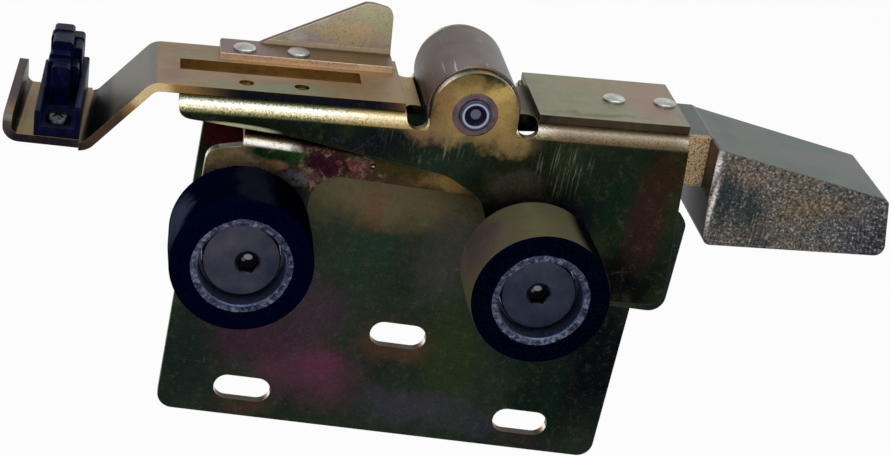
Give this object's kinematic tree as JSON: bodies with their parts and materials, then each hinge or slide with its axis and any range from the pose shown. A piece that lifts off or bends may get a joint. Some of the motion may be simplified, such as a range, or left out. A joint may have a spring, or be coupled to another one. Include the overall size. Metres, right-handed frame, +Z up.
{
  "type": "landing door lock",
  "caption": "Hook lock of a lift's landing door: folded base with mounting slots, rocking lever with hook and contact carrier, and two guide rollers.",
  "frame": {"origin": "midway between the two lower fixing slots, on the rear face of the base", "axes": "+X along the lock towards the hook, +Y back towards the surface it is fixed to, +Z up"},
  "size_m": [0.2621, 0.0702, 0.141],
  "materials": {
    "base_plating": "satin",
    "lever_plating": "satin",
    "arm_plating": "satin",
    "cover_plating": "satin",
    "fin_plating": "satin",
    "tube_plating": "satin",
    "pin_steel": "satin",
    "bush_steel": "satin",
    "rivet_steel": "satin",
    "hook_iron": "matte",
    "carrier_plastic": "gloss",
    "bridge_brass": "satin",
    "screw_steel": "satin",
    "bolt_steel": "satin",
    "bearing_steel": "gloss",
    "fastener_plating": "satin",
    "tyre_rubber": "matte",
    "hub_steel": "satin",
    "spring_steel": "satin"
  },
  "bodies": {
    "base": {"base_plate": "base_plating", "pivot_boss": "tube_plating", "pivot_pin": "pin_steel", "left_roller_bolt": "bolt_steel", "left_spacer": "bearing_steel", "left_washer": "fastener_plating", "left_nut": "fastener_plating", "left_bearing_inner": "bearing_steel"},
    "lever": {"lever_channel": "lever_plating", "contact_arm": "arm_plating", "hook_plate": "cover_plating", "fin_bracket": "fin_plating", "arm_rivets": "rivet_steel", "hook_block": "hook_iron", "hook_rivets": "rivet_steel", "ear_bush_front": "bush_steel", "ear_bush_rear": "bush_steel", "contact_carrier": "carrier_plastic", "contact_bridge": "bridge_brass", "contact_screw": "screw_steel", "right_roller_bolt": "bolt_steel", "right_spacer": "bearing_steel", "right_washer": "fastener_plating", "right_nut": "fastener_plating", "right_bearing_inner": "bearing_steel"},
    "left_roller": {"left_tyre": "tyre_rubber", "left_hub": "hub_steel", "left_bearing_outer": "bearing_steel", "left_bearing_balls": "bearing_steel", "left_snap_ring": "spring_steel"},
    "right_roller": {"right_tyre": "tyre_rubber", "right_hub": "hub_steel", "right_bearing_outer": "bearing_steel", "right_bearing_balls": "bearing_steel", "right_snap_ring": "spring_steel"}
  },
  "joints": [
    {"name": "lever_pivot", "type": "hinge", "parent": "base", "child": "lever", "pos_m": [0.001, -0.01675, 0.1157], "axis": [0, -1, 0], "range_deg": [0, 6.1]},
    {"name": "left_roller_spin", "type": "hinge", "parent": "base", "child": "left_roller", "pos_m": [-0.0591, -0.0515, 0.07165], "axis": [0, -1, 0], "continuous": true},
    {"name": "right_roller_spin", "type": "hinge", "parent": "lever", "child": "right_roller", "pos_m": [0.02568, -0.0515, 0.0733], "axis": [0, -1, 0], "continuous": true}
  ]
}
